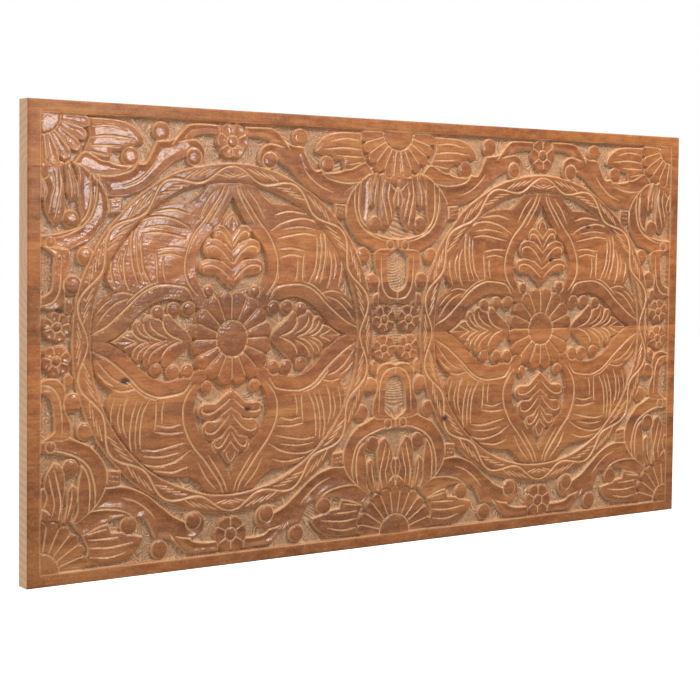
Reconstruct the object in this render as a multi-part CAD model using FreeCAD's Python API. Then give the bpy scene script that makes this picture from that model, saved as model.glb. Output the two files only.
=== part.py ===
import FreeCAD, Part
import math
import os

from FreeCAD import Vector

# Carved wooden headboard, wall hung on a French cleat. Millimetres.
# X runs along the headboard, Y into the wall and Z up. The origin is the centre of the wall
# cleat's back face, so Y = 0 is the wall. The headboard's front looks along -Y.

# Driving dimensions of the panel
PANEL_W = 1500.0
PANEL_H = 800.0
BOARD_T = 35.0
BOARD_HEIGHTS = [108.0, 99.0, 96.0, 97.0, 107.0, 83.0, 87.0, 123.0]  # from the top down
PANEL_CENTRE_Z = -190.0
ARRIS_R = 2.5

# Carving: a sunk field inside a plain border, with raised motifs left standing in it
FIELD_W = 1452.0
FIELD_H = 756.0
CARVE_DEPTH = 7.0
LAND_DROP = 1.0
MEDALLION_X = FIELD_W / 4
RING_R_OUT = 308.0
ROSETTE_R = 31.0
SUNFLOWER_R = 33.0
SUNFLOWER_STEP_DEG = 360.0 / 22
PETAL_HALF_WIDTH = 0.42  # of the angle from one petal to the next
PETAL_SHOULDER = 0.86  # of the petal's outer radius, where its round end starts

# Back structure
CLEAT_T = 18.0
CLEAT_W = 1200.0
CLEAT_H = 60.0
BEVEL_GAP = 0.3
FACE_GAP = 0.3
BATTEN_T = 18.0
BATTEN_W = 60.0
BATTEN_INSET = 40.0
BATTEN_CHAMFER = 2.0
BATTEN_X = {"left": -540.0, "middle": 0.0, "right": 540.0}
SPACER_W = 60.0
SPACER_H = 80.0
SPACER_RISE = 10.0
FELT_T = 3.0
FELT_INSET = 2.0
FELT_CORNER_R = 6.0

# Fasteners
DOWEL_R = 4.0
DOWEL_L = 40.0
DOWEL_STEP = 220.0
DOWEL_COUNT = 7
DOWEL_DEPTH_FROM_FRONT = 21.0
DOWEL_CHAMFER = 0.8
DOWEL_END_GAP = 0.25
FIT = 0.05
BATTEN_SCREW = {"length": 34.0, "shank_r": 2.0, "head_r": 4.0}
CLEAT_SCREW = {"length": 50.0, "shank_r": 2.5, "head_r": 5.0}
SPACER_SCREW = {"length": 30.0, "shank_r": 2.0, "head_r": 4.0}
SCREW_TIP = 5.0
RECESS_W = 1.0
RECESS_DEPTH = 1.6
RECESS_ARM = 0.6  # of the head's radius
CLEAT_SCREW_RISE = 18.0  # above the wall cleat's top
CLEAT_SCREW_DROP = 15.0  # below the panel cleat's top
WALL_HOLE_R = 2.75
WALL_HOLE_HEAD_R = 5.5
WALL_HOLE_X = (-400.0, -200.0, 200.0, 400.0)

# Places worked out from the dimensions above
BATTEN_BACK_Y = -(CLEAT_T + FACE_GAP)
BOARD_BACK_Y = BATTEN_BACK_Y - BATTEN_T
FRONT_Y = BOARD_BACK_Y - BOARD_T
PANEL_TOP_Z = PANEL_CENTRE_Z + PANEL_H / 2
PANEL_BOTTOM_Z = PANEL_CENTRE_Z - PANEL_H / 2
GROUND_Y = FRONT_Y + CARVE_DEPTH
BATTEN_BOTTOM_Z = PANEL_BOTTOM_Z + BATTEN_INSET
BATTEN_TOP_Z = PANEL_TOP_Z - BATTEN_INSET
CLEAT_TOP_Z = CLEAT_H / 2
PANEL_CLEAT_TOP_Z = CLEAT_TOP_Z + CLEAT_H
SPACER_BOTTOM_Z = BATTEN_BOTTOM_Z + SPACER_RISE


def box(x0, x1, y0, y1, z0, z1):
    return Part.makeBox(x1 - x0, y1 - y0, z1 - z0, Vector(x0, y0, z0))


def board_spans():
    """Each board's lowest and highest Z, from the top board down."""
    spans = []
    top = PANEL_TOP_Z
    for height in BOARD_HEIGHTS:
        spans.append((top - height, top))
        top -= height
    return spans


# Motif outlines are drawn in the panel's own plane: x from a motif's axis, z up from the
# panel's centre line. A run of two points is straight, and a longer one is a smooth curve.


def raised(runs):
    """A raised motif whose outline is a closed chain of runs."""
    edges = []
    for run in runs:
        points = [Vector(x, FRONT_Y + LAND_DROP, z + PANEL_CENTRE_Z) for x, z in run]
        if len(points) == 2:
            edges.append(Part.LineSegment(points[0], points[1]).toShape())
        else:
            curve = Part.BSplineCurve()
            curve.interpolate(points)
            edges.append(curve.toShape())
    return Part.Face(Part.Wire(edges)).extrude(Vector(0, CARVE_DEPTH, 0))


def disc(x, z, radius):
    """A round raised boss."""
    centre = Vector(x, FRONT_Y + LAND_DROP, z + PANEL_CENTRE_Z)
    return Part.makeCylinder(radius, CARVE_DEPTH, centre, Vector(0, 1, 0))


def moved(solid, dx):
    copy = solid.copy()
    copy.translate(Vector(dx, 0, 0))
    return copy


def mirror_x(solid, at=0.0):
    return solid.mirror(Vector(at, 0, 0), Vector(1, 0, 0))


def mirror_z(solid):
    return solid.mirror(Vector(0, 0, PANEL_CENTRE_Z), Vector(0, 0, 1))


def four_quarters(solid):
    """A motif of one quarter, mirrored to all four about its axes."""
    sides = [solid, mirror_x(solid)]
    return sides + [mirror_z(side) for side in sides]


def all_tiles(solid):
    """A motif between a column axis and a medallion axis, mirrored to all eight tiles."""
    across = [solid, mirror_x(solid, MEDALLION_X)]
    both = across + [mirror_x(side) for side in across]
    return both + [mirror_z(side) for side in both]


def petal_ring(x, z, count, inner_r, outer_r, first_deg, step_deg):
    """Round-ended petals around a centre, each a straight-sided wedge with a rounded end."""
    petals = []
    half = math.radians(step_deg * PETAL_HALF_WIDTH)
    shoulder_r = outer_r * PETAL_SHOULDER
    for k in range(count):
        mid = math.radians(first_deg + k * step_deg)

        def at(radius, angle):
            return (x + radius * math.cos(angle), z + radius * math.sin(angle))

        corners = [at(inner_r, mid - half), at(shoulder_r, mid - half)]
        end = [corners[1], at(outer_r, mid), at(shoulder_r, mid + half)]
        back = [end[2], at(inner_r, mid + half)]
        close = [back[1], corners[0]]
        petals.append(raised([corners, end, back, close]))
    return petals


def with_mirror_half(runs, flip_x, flip_z):
    """A closed outline from one half of it, whose two ends lie on the mirror axis."""
    back = [[(x * flip_x, z * flip_z) for x, z in reversed(run)] for run in reversed(runs)]
    return runs + back


def medallion_grounds():
    """The patches of ground inside the ring: in the petals, and between them and the ring."""
    half_tall = [
        [(0, 246), (12, 222), (28, 200), (44, 182), (58, 168), (70, 148), (74, 124), (71, 104)],
        [(71, 104), (64, 90), (56, 82)],
        [(56, 82), (44, 60)],
        [(44, 60), (0, 60)],
    ]
    half_wide = [
        [(246, 0), (224, 9), (204, 24), (186, 42), (168, 57), (150, 66), (130, 71), (108, 68), (90, 63)],
        [(90, 63), (60, 46)],
        [(60, 46), (60, 0)],
    ]
    over_tall = [
        [(50, 266), (100, 251), (146, 228)],
        [(146, 228), (116, 234), (84, 238)],
        [(84, 238), (66, 250), (50, 266)],
    ]
    beside_wide = [
        [(240, 124), (256, 92), (267, 50)],
        [(267, 50), (254, 68), (233, 86)],
        [(233, 86), (243, 104), (240, 124)],
    ]
    tall = raised(with_mirror_half(half_tall, -1, 1))
    wide = raised(with_mirror_half(half_wide, 1, -1))
    corners = four_quarters(raised(over_tall)) + four_quarters(raised(beside_wide))
    return [tall, mirror_z(tall), wide, mirror_x(wide)] + corners


def medallion_motifs():
    """One medallion about its own centre: ring, petals and leaves, a palmette and a rosette."""
    leaves = disc(0, 0, RING_R_OUT)
    for ground in medallion_grounds():
        leaves = leaves.cut(ground)
    motifs = [leaves, disc(0, 0, ROSETTE_R)]
    motifs += petal_ring(0, 0, 16, ROSETTE_R + 3, 83, 0, 22.5)
    palmette = raised(
        [
            [(0, 230), (12, 208), (22, 196)],
            [(22, 196), (33, 187), (50, 168), (64, 154)],
            [(64, 154), (44, 145), (26, 132)],
            [(26, 132), (38, 131), (47, 122), (42, 102), (20, 95), (0, 91)],
            [(0, 91), (0, 230)],
        ]
    )
    acanthus = raised(
        [
            [(88, 0), (92, 18), (104, 31), (128, 41), (152, 42), (176, 37), (200, 20), (226, 0)],
            [(226, 0), (88, 0)],
        ]
    )
    for quarter in (palmette, acanthus):
        motifs += four_quarters(quarter)
    return motifs


def column_motifs():
    """One tile between two axes: x from the column axis towards the medallion axis."""
    sunflower = petal_ring(0, FIELD_H / 2, 6, SUNFLOWER_R + 3, 88, 270, SUNFLOWER_STEP_DEG)
    side_leaf = raised(
        [
            [(84, 370), (120, 371), (150, 368), (172, 360), (186, 346), (189, 335)],
            [(189, 335), (166, 329), (148, 323), (128, 321)],
            [(128, 321), (123, 306)],
            [(123, 306), (104, 310), (80, 320)],
            [(80, 320), (84, 370)],
        ]
    )
    scroll_and_crescent = raised(
        [
            [(330, 373), (300, 373), (279, 371), (265, 363), (252, 350), (240, 344), (226, 342), (214, 341)],
            [(214, 341), (207, 326), (199, 310), (189, 301)],
            [(189, 301), (174, 303), (150, 297), (130, 300), (106, 306), (76, 317)],
            [(76, 317), (56, 300)],
            [(56, 300), (65, 280), (66, 255), (69, 228), (73, 207), (66, 194), (48, 186)],
            [(48, 186), (24, 181), (0, 179)],
            [(0, 179), (0, 161)],
            [(0, 161), (20, 152), (40, 150), (66, 161), (88, 170)],
            [(88, 170), (104, 186), (116, 203), (121, 220), (120, 243)],
            [(120, 243), (146, 243)],
            [(146, 243), (166, 248), (185, 256), (201, 266), (216, 279), (231, 291), (247, 304), (271, 316)],
            [(271, 316), (273, 306), (282, 300), (295, 301), (305, 309), (309, 322), (304, 336)],
            [(304, 336), (294, 343), (282, 347)],
            [(282, 347), (290, 353), (312, 356), (330, 356)],
            [(330, 356), (330, 373)],
        ]
    )
    main_lobe = raised(
        [
            [(40, 298), (38, 272), (42, 246), (43, 220), (37, 203), (24, 197)],
            [(24, 197), (10, 214), (6, 236), (11, 252), (4, 276), (6, 294)],
            [(6, 294), (40, 298)],
        ]
    )
    outer_lobe = raised(
        [
            [(44, 296), (47, 270), (48, 248), (56, 236)],
            [(56, 236), (62, 246), (61, 264), (55, 282), (50, 298)],
            [(50, 298), (44, 296)],
        ]
    )
    collar = raised(
        [
            [(22, 164), (25, 144), (23, 112), (19, 94), (11, 84), (0, 80)],
            [(0, 80), (0, 61)],
            [(0, 61), (15, 57), (32, 60), (42, 71), (44, 86), (41, 100), (46, 114), (53, 130), (56, 166)],
            [(56, 166), (22, 164)],
        ]
    )
    clasp = raised(
        [
            [(124, 216), (146, 216)],
            [(146, 216), (146, 240)],
            [(146, 240), (124, 240)],
            [(124, 240), (124, 216)],
        ]
    )
    beads = [disc(163, 313, 14), disc(222, 358, 14), disc(54, 208, 12), disc(80, 145, 13)]
    beads.append(disc(60, 100, 13))
    flower = [disc(28, 29, 9)] + petal_ring(28, 29, 6, 11, 25, 0, 60)
    leaves = [side_leaf, scroll_and_crescent, main_lobe, outer_lobe, collar, clasp]
    return sunflower + leaves + beads + flower


def axis_flowers():
    """The small flowers on the medallion axis, above and below each ring."""
    return [disc(0, 348, 9)] + petal_ring(0, 348, 6, 11, 29, 0, 60)


def carving():
    """Every raised motif of the field, trimmed to the field's edge."""
    motifs = []
    for solid in column_motifs():
        motifs += all_tiles(solid)
    for x in (-MEDALLION_X, MEDALLION_X):
        motifs += [moved(solid, x) for solid in medallion_motifs()]
        for solid in axis_flowers():
            motifs += [moved(solid, x), mirror_z(moved(solid, x))]
    for axis_x in (-FIELD_W / 2, 0.0, FIELD_W / 2):
        for side in (1, -1):
            motifs.append(disc(axis_x, side * FIELD_H / 2, SUNFLOWER_R))
    field = box(
        -FIELD_W / 2,
        FIELD_W / 2,
        FRONT_Y,
        BOARD_BACK_Y,
        PANEL_CENTRE_Z - FIELD_H / 2,
        PANEL_CENTRE_Z + FIELD_H / 2,
    )
    return field, motifs


def plain_panel():
    """The whole panel with softened outer edges, before the field is sunk."""
    blank = box(
        -PANEL_W / 2, PANEL_W / 2, FRONT_Y, BOARD_BACK_Y, PANEL_BOTTOM_Z, PANEL_TOP_Z
    )
    return blank.makeFillet(ARRIS_R, blank.Edges)


def screw(place, length, shank_r, head_r, clearance=0.0):
    """A countersunk wood screw driven towards -Y from a face at the given place."""
    shank = shank_r + clearance
    head = head_r + clearance
    outline = [
        Vector(0, 0, 0),
        Vector(head, 0, 0),
        Vector(shank, -(head - shank), 0),
        Vector(shank, -(length - SCREW_TIP), 0),
        Vector(0, -(length + clearance), 0),
        Vector(0, 0, 0),
    ]
    body = Part.Face(Part.makePolygon(outline)).revolve(Vector(), Vector(0, 1, 0), 360)
    if clearance == 0.0:
        arm = head_r * RECESS_ARM
        for x, z in ((arm, RECESS_W / 2), (RECESS_W / 2, arm)):
            body = body.cut(box(-x, x, -RECESS_DEPTH, 1, -z, z))
    body.translate(place)
    return body


def screw_holes(solid, places, size):
    for place in places:
        solid = solid.cut(screw(place, clearance=FIT, **size))
    return solid


def batten_screw_places(x):
    return [
        Vector(x, BATTEN_BACK_Y, (low + high) / 2) for low, high in board_spans()
    ]


def cleat_screw_places():
    places = []
    for x in BATTEN_X.values():
        low, high = CLEAT_TOP_Z + CLEAT_SCREW_RISE, PANEL_CLEAT_TOP_Z - CLEAT_SCREW_DROP
        places.append(Vector(x - BATTEN_W / 4, -2 * FACE_GAP, low))
        places.append(Vector(x + BATTEN_W / 4, -2 * FACE_GAP, high))
    return places


def spacer_screw_places(x):
    middle_z = SPACER_BOTTOM_Z + SPACER_H / 2
    return [
        Vector(x + side * SPACER_W / 4, -FELT_T, middle_z + side * SPACER_H / 4)
        for side in (-1, 1)
    ]


def dowel_places(seam_z):
    first_x = -DOWEL_STEP * (DOWEL_COUNT - 1) / 2
    y = FRONT_Y + DOWEL_DEPTH_FROM_FRONT
    return [Vector(first_x + k * DOWEL_STEP, y, seam_z) for k in range(DOWEL_COUNT)]


def dowel(place):
    """A dowel pin, centred on its place, with chamfered ends."""
    pin = Part.makeCylinder(DOWEL_R, DOWEL_L, place - Vector(0, 0, DOWEL_L / 2))
    return pin.makeChamfer(DOWEL_CHAMFER, [edge for edge in pin.Edges if edge.isClosed()])


def dowel_hole(place):
    """The hole for a dowel pin, a little wider than it and deeper at both ends."""
    length = DOWEL_L + 2 * DOWEL_END_GAP
    return Part.makeCylinder(DOWEL_R + FIT, length, place - Vector(0, 0, length / 2))


def make_boards():
    """The eight carved boards, each cut from the panel and drilled for dowels and screws."""
    panel = plain_panel()
    field, motifs = carving()
    pocket = box(
        -FIELD_W / 2,
        FIELD_W / 2,
        FRONT_Y - 1,
        GROUND_Y,
        PANEL_CENTRE_Z - FIELD_H / 2,
        PANEL_CENTRE_Z + FIELD_H / 2,
    )
    sunk = panel.cut(pocket)
    spans = board_spans()
    seams = [low for low, high in spans[:-1]]
    screws = [place for x in BATTEN_X.values() for place in batten_screw_places(x)]
    boards = []
    for low, high in spans:
        slab = box(-PANEL_W, PANEL_W, 2 * FRONT_Y, 0, low, high)
        board = sunk.common(slab)
        window = field.common(slab)
        parts = []
        for motif in motifs:
            bounds = motif.BoundBox
            if bounds.ZMax > low and bounds.ZMin < high:
                parts += motif.common(window).Solids
        board = board.multiFuse(parts).removeSplitter()
        for seam in seams:
            if low <= seam <= high:
                holes = [dowel_hole(place) for place in dowel_places(seam)]
                board = board.cut(Part.Compound(holes))
        near = [place for place in screws if low < place.z < high]
        board = screw_holes(board, near, BATTEN_SCREW)
        near = [place for place in cleat_screw_places() if low < place.z < high]
        board = screw_holes(board, near, CLEAT_SCREW)
        boards.append(board)
    return boards


def make_batten(x):
    """A back batten with countersunk holes for its own, the cleat's and the spacer's screws."""
    batten = box(
        x - BATTEN_W / 2,
        x + BATTEN_W / 2,
        BOARD_BACK_Y,
        BATTEN_BACK_Y,
        BATTEN_BOTTOM_Z,
        BATTEN_TOP_Z,
    )
    long_edges = [
        edge
        for edge in batten.Edges
        if edge.BoundBox.YMin > BATTEN_BACK_Y - 0.1 and edge.Length > BATTEN_W
    ]
    batten = batten.makeChamfer(BATTEN_CHAMFER, long_edges)
    batten = screw_holes(batten, batten_screw_places(x), BATTEN_SCREW)
    over = [place for place in cleat_screw_places() if abs(place.x - x) < BATTEN_W / 2]
    batten = screw_holes(batten, over, CLEAT_SCREW)
    if x != BATTEN_X["middle"]:
        batten = screw_holes(batten, spacer_screw_places(x), SPACER_SCREW)
    return batten


def cleat_bar(profile):
    """A bar along X with the given cross-section of (y, z) corners."""
    corners = [Vector(-CLEAT_W / 2, y, z) for y, z in profile]
    face = Part.Face(Part.makePolygon(corners + corners[:1]))
    return face.extrude(Vector(CLEAT_W, 0, 0))


def make_wall_cleat():
    """The lower cleat: its top is bevelled at 45 degrees, high at the front, low at the wall."""
    bar = cleat_bar(
        [
            (0, -CLEAT_TOP_Z),
            (0, CLEAT_TOP_Z - CLEAT_T),
            (-CLEAT_T, CLEAT_TOP_Z),
            (-CLEAT_T, -CLEAT_TOP_Z),
        ]
    )
    towards_wall = Vector(0, 1, 0)
    for x in WALL_HOLE_X:
        front = Vector(x, -CLEAT_T, 0)
        bar = bar.cut(Part.makeCylinder(WALL_HOLE_R, CLEAT_T, front, towards_wall))
        depth = WALL_HOLE_HEAD_R - WALL_HOLE_R
        sink = Part.makeCone(WALL_HOLE_HEAD_R, WALL_HOLE_R, depth, front, towards_wall)
        bar = bar.cut(sink)
    return bar


def make_panel_cleat():
    """The upper cleat, on the battens, whose bevelled foot sits on the wall cleat's bevel."""
    back_y = -2 * FACE_GAP
    rise = CLEAT_TOP_Z - CLEAT_T + BEVEL_GAP * math.sqrt(2)
    bar = cleat_bar(
        [
            (back_y, rise - back_y),
            (back_y, PANEL_CLEAT_TOP_Z),
            (BATTEN_BACK_Y, PANEL_CLEAT_TOP_Z),
            (BATTEN_BACK_Y, rise - BATTEN_BACK_Y),
        ]
    )
    return screw_holes(bar, cleat_screw_places(), CLEAT_SCREW)


def make_spacer(x):
    """A block at the foot of an outer batten that keeps the headboard plumb."""
    block = box(
        x - SPACER_W / 2,
        x + SPACER_W / 2,
        BATTEN_BACK_Y,
        -FELT_T,
        SPACER_BOTTOM_Z,
        SPACER_BOTTOM_Z + SPACER_H,
    )
    return screw_holes(block, spacer_screw_places(x), SPACER_SCREW)


def make_felt_pad(x):
    """A felt pad with rounded corners, glued to the spacer, against the wall."""
    half_w = SPACER_W / 2 - FELT_INSET
    low = SPACER_BOTTOM_Z + FELT_INSET
    high = SPACER_BOTTOM_Z + SPACER_H - FELT_INSET
    pad = box(x - half_w, x + half_w, -FELT_T, 0, low, high)
    corners = [edge for edge in pad.Edges if abs(edge.Length - FELT_T) < 0.01]
    return pad.makeFillet(FELT_CORNER_R, corners)


def save(name, shape):
    """Writes one sub-part, one solid or a group of separate solids."""
    solids = shape if isinstance(shape, list) else [shape]
    solids = [piece for solid in solids for piece in solid.Solids]
    for solid in solids:
        if not solid.isValid():
            raise ValueError("bad solid in " + name)
    whole = solids[0] if len(solids) == 1 else Part.Compound(solids)
    whole.exportStep("parts/" + name + ".step")
    print(name, len(solids), round(whole.Volume / 1000.0, 1))


os.makedirs("parts", exist_ok=True)

for number, board in enumerate(make_boards(), start=1):
    save("board_" + str(number), board)

for number, (low, high) in enumerate(board_spans()[:-1], start=1):
    save("dowels_" + str(number), [dowel(place) for place in dowel_places(low)])

for side, x in BATTEN_X.items():
    save("batten_" + side, make_batten(x))
    places = batten_screw_places(x)
    save("batten_screws_" + side, [screw(place, **BATTEN_SCREW) for place in places])

save("wall_cleat", make_wall_cleat())
save("panel_cleat", make_panel_cleat())
save("panel_cleat_screws", [screw(place, **CLEAT_SCREW) for place in cleat_screw_places()])

spacer_screws = []
for side in ("left", "right"):
    x = BATTEN_X[side]
    save("spacer_" + side, make_spacer(x))
    save("felt_pad_" + side, make_felt_pad(x))
    spacer_screws += [screw(place, **SPACER_SCREW) for place in spacer_screw_places(x)]
save("spacer_screws", spacer_screws)
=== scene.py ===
"""A carved wooden headboard on its wall cleat, with a floor, light and a camera."""

import math

import bpy
import numpy as np
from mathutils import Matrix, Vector


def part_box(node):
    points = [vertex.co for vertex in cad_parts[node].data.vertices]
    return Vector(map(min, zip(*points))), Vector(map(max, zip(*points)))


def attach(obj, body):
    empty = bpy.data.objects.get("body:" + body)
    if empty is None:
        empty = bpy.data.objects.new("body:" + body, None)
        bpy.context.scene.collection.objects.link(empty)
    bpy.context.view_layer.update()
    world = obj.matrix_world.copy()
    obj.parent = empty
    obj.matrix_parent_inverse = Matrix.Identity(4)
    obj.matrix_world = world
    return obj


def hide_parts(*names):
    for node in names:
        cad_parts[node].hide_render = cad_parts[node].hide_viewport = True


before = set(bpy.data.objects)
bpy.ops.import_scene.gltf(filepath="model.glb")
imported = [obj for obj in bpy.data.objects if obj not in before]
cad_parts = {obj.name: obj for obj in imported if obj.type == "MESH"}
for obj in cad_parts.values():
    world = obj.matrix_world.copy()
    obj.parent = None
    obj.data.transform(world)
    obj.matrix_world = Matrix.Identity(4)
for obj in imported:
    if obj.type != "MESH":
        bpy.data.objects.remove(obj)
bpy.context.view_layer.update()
scene = bpy.context.scene

# ---------------------------------------------------------------------------------------------
# The carving. The design repeats as one tile, mirrored eight times over the panel. A tile runs from
# a column axis (u = 0) to a medallion axis (u = TILE_W), and from the panel's centre line (v = 0) up
# to the field's edge (v = TILE_H). Lengths are millimetres, and heights are measured from the plain
# border's face, so they are negative.

TILE_W = 363.0
TILE_H = 378.0
TILE_STEP = 0.5
GROUND = -7.6
TOP = -0.9
SIDE_RUN = 1.4  # how far the steep side of a motif spreads
WASH_RUN = 2.2  # how far the wash at a motif's foot climbs
FOOT_WASH = 0.8
LAND_EDGE = 2.5
BEAD_RISE = 2.6
RING_IN = 274.0
RING_OUT = 308.0
RING_WAVES = 14
RING_SWING = 0.70  # of the ring's half width
SPLINE_STEPS = 7
EVERYWHERE = (slice(None), slice(None))


def smoothstep(x):
    """Rises smoothly from 0 at x = 0 to 1 at x = 1."""
    x = np.clip(x, 0.0, 1.0)
    return x * x * (3.0 - 2.0 * x)


def rounded_rim(depth_in, edge):
    """Falls as a quarter circle from 1 at an outline to 0 at a depth of edge inside it."""
    return 1.0 - np.sqrt(1.0 - np.clip(1.0 - depth_in / edge, 0.0, 1.0) ** 2)


def spline(points):
    """A Catmull-Rom curve through the points."""
    p = np.array(points, float)
    if len(p) == 2:
        return p
    ends = np.vstack([2 * p[0] - p[1], p, 2 * p[-1] - p[-2]])
    t = np.linspace(0.0, 1.0, SPLINE_STEPS, endpoint=False)[:, None]
    spans = []
    for a, b, c, d in zip(ends, ends[1:], ends[2:], ends[3:], strict=False):
        bend = (2 * a - 5 * b + 4 * c - d) * t + (3 * b - a - 3 * c + d) * t * t
        spans.append(b + 0.5 * t * (c - a + bend))
    return np.vstack(spans + [p[-1:]])


def chain(runs):
    """One polyline through several smooth runs, with a corner wherever two runs meet."""
    return np.vstack([spline(run) for run in runs])


def from_medallion(points):
    """Moves points drawn from the medallion's centre into the tile."""
    return [(TILE_W - x, z) for x, z in points]


class Tile:
    """The height, and how much pale wash lies in it, over one tile of the design."""

    def __init__(self):
        self.us = np.arange(0.0, TILE_W + TILE_STEP / 2, TILE_STEP)
        self.vs = np.arange(0.0, TILE_H + TILE_STEP / 2, TILE_STEP)
        shape = (len(self.vs), len(self.us))
        self.height = np.full(shape, GROUND)
        self.wash = np.ones(shape)

    def window(self, low, high, margin):
        """The part of the tile round a box, with its grid of u and v."""
        u0, u1 = np.searchsorted(self.us, (low[0] - margin, high[0] + margin))
        v0, v1 = np.searchsorted(self.vs, (low[1] - margin, high[1] + margin))
        where = (slice(v0, v1), slice(u0, u1))
        u, v = np.meshgrid(self.us[u0:u1], self.vs[v0:v1])
        return where, u, v

    def medallion_radius(self):
        """Distance of each grid point from the medallion's centre."""
        u, v = np.meshgrid(self.us, self.vs)
        return np.hypot(TILE_W - u, v)

    def set_surface(self, where, amount, height, wash):
        """Blends the surface towards a new height and wash by an amount from 0 to 1."""
        self.height[where] += (height - self.height[where]) * amount
        self.wash[where] += (wash - self.wash[where]) * amount

    def land(self, runs, top=TOP, hollow=0.0, half_width=12.0, dome=0.0):
        """A raised motif with rounded edges, hollowed or domed towards its middle."""
        line = chain(runs)
        where, u, v = self.window(line.min(0), line.max(0), 3.0)
        depth_in = signed_distance(line, u, v)
        rim = rounded_rim(depth_in, LAND_EDGE)
        middle = smoothstep(depth_in / half_width)
        height = top - 1.6 * rim + (dome - hollow) * middle
        amount = smoothstep(depth_in / SIDE_RUN + 1.0)
        wash = FOOT_WASH * smoothstep(1.0 - depth_in / WASH_RUN)
        self.set_surface(where, amount, height, wash)

    def pocket(self, runs):
        """A patch cut down to the ground, with steep sides."""
        line = chain(runs)
        where, u, v = self.window(line.min(0), line.max(0), 3.0)
        depth_in = signed_distance(line, u, v)
        amount = smoothstep(depth_in / SIDE_RUN + 0.5)
        self.set_surface(where, amount, GROUND, 1.0)

    def cut(self, points, width=3.6, depth=1.7, taper=0.25, wash=1.0):
        """A V cut along a curve, narrowing towards its ends."""
        line = spline(points)
        where, u, v = self.window(line.min(0), line.max(0), width)
        share = np.linspace(0.0, 1.0, len(line) - 1)
        thin = np.minimum(share, 1.0 - share) / taper
        widths = width / 2 * (0.45 + 0.55 * smoothstep(thin))
        near = line_distance(line, u, v, widths)
        groove = np.clip(1.0 - near, 0.0, 1.0)
        self.height[where] -= depth * groove
        pale = wash * smoothstep(1.9 * groove - 0.15)
        self.wash[where] = np.maximum(self.wash[where], pale)

    def bead(self, u0, v0, radius):
        """A round bead that stands in its own ring-shaped cut."""
        where, u, v = self.window((u0 - radius, v0 - radius), (u0 + radius, v0 + radius), 4.0)
        r = np.hypot(u - u0, v - v0)
        dome = TOP - BEAD_RISE + BEAD_RISE * np.sqrt(np.clip(1.0 - (r / radius) ** 3, 0.0, 1.0))
        amount = smoothstep((radius - r) / SIDE_RUN + 1.0)
        wash = FOOT_WASH * smoothstep((r - radius) / WASH_RUN + 1.0)
        self.set_surface(where, amount, dome, wash)

    def flower(self, u0, v0, boss, reach, count, turn, scoop=1.6):
        """Scooped, round-ended petals about a domed boss."""
        where, u, v = self.window((u0 - reach, v0 - reach), (u0 + reach, v0 + reach), 4.0)
        r = np.hypot(u - u0, v - v0)
        share = (np.arctan2(v - v0, u - u0) / (2 * math.pi) + turn) * count
        side = 2.0 * np.abs(share - np.round(share))
        rim = reach * (1.0 - 0.13 * side**3)
        half_gap = (1.0 - side) * math.pi * r / count
        along = np.clip((r - boss) / (reach - boss), 0.0, 1.0)
        inner = TOP - scoop * (1.0 - side**2) * np.sin(math.pi * np.clip(along, 0.05, 1.0)) ** 0.5
        ends = smoothstep((rim - r) / 3.0)
        split = smoothstep(1.0 - half_gap / 1.9)
        height = inner - 1.4 * (1.0 - ends) - 2.0 * split
        amount = smoothstep((rim - r) / SIDE_RUN + 1.0)
        self.set_surface(where, amount, height, np.maximum(0.25 * (1 - ends), 0.95 * split))
        collar = smoothstep(1.0 - np.abs(r - boss - 1.5) / 2.2)
        self.height[where] -= 2.0 * collar
        self.wash[where] = np.maximum(self.wash[where], 0.9 * collar)
        middle = smoothstep((boss - r) / 1.2 + 0.5)
        crown = TOP - 0.9 + 1.4 * np.sqrt(np.clip(1.0 - (r / boss) ** 2, 0.0, 1.0))
        self.set_surface(where, middle, crown, 0.0)


def line_distance(line, u, v, widths=None):
    """Distance from each grid point to a polyline, over the half width there if widths are given."""
    best = np.full(u.shape, 1e9)
    for k in range(len(line) - 1):
        (ax, ay), (bx, by) = line[k], line[k + 1]
        dx, dy = bx - ax, by - ay
        length2 = dx * dx + dy * dy
        if length2 == 0.0:
            continue
        t = np.clip(((u - ax) * dx + (v - ay) * dy) / length2, 0.0, 1.0)
        away = np.hypot(u - ax - t * dx, v - ay - t * dy)
        if widths is not None:
            away = away / widths[k]
        best = np.minimum(best, away)
    return best


def signed_distance(line, u, v):
    """Distance to a closed outline, positive inside it."""
    loop = np.vstack([line, line[:1]])
    inside = np.zeros(u.shape, bool)
    for k in range(len(loop) - 1):
        (ax, ay), (bx, by) = loop[k], loop[k + 1]
        if ay == by:
            continue
        crosses = (ay > v) != (by > v)
        inside ^= crosses & (u < ax + (v - ay) / (by - ay) * (bx - ax))
    away = line_distance(loop, u, v)
    return np.where(inside, away, -away)


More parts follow.
